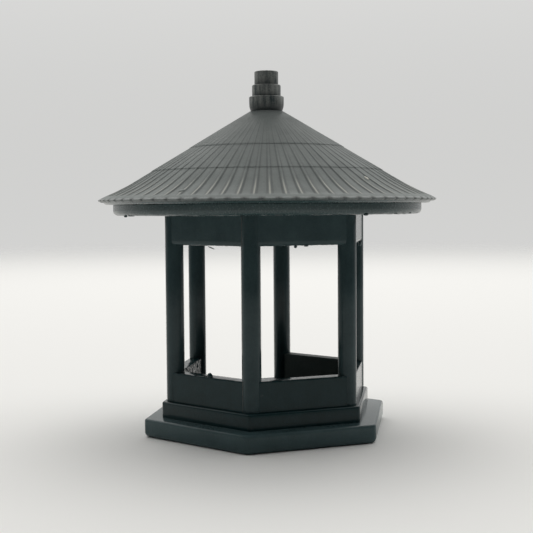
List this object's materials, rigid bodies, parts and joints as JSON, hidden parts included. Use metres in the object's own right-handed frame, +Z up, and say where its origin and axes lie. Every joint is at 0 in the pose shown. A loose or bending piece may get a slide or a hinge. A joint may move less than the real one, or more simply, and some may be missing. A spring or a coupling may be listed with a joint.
{
  "type": "miniature garden gazebo",
  "caption": "Small matte grey scale-model pavilion: hexagonal steps, round posts, low parapets with one open entrance side, and a ribbed conical roof in courses with a tiered finial.",
  "frame": {"origin": "centre of the lower step's underside, on the roof's axis", "axes": "+Z up along the roof's axis; +Y towards the entrance side, which has no parapet; +X towards a corner post"},
  "size_m": [0.0334, 0.0334, 0.0355],
  "materials": {
    "body_plastic": "matte moulded grey plastic with faint layer lines, scuffs and small burrs",
    "roof_plastic": "matte moulded grey plastic with fine grain"
  },
  "bodies": {
    "root": {"lower_step": "body_plastic", "upper_step": "body_plastic", "post_front_left": "body_plastic", "post_front_right": "body_plastic", "post_right": "body_plastic", "post_back_right": "body_plastic", "post_back_left": "body_plastic", "post_left": "body_plastic", "parapet_front": "body_plastic", "parapet_front_right": "body_plastic", "parapet_back_right": "body_plastic", "parapet_back_left": "body_plastic", "parapet_front_left": "body_plastic", "frieze_front": "body_plastic", "frieze_front_right": "body_plastic", "frieze_back_right": "body_plastic", "frieze_back": "body_plastic", "frieze_back_left": "body_plastic", "frieze_front_left": "body_plastic", "eave_plate": "roof_plastic", "eave_rim": "roof_plastic", "roof_lower_course": "roof_plastic", "roof_middle_course": "roof_plastic", "roof_upper_course": "roof_plastic", "finial_base": "roof_plastic", "finial_middle": "roof_plastic", "finial_top": "roof_plastic"}
  },
  "joints": []
}
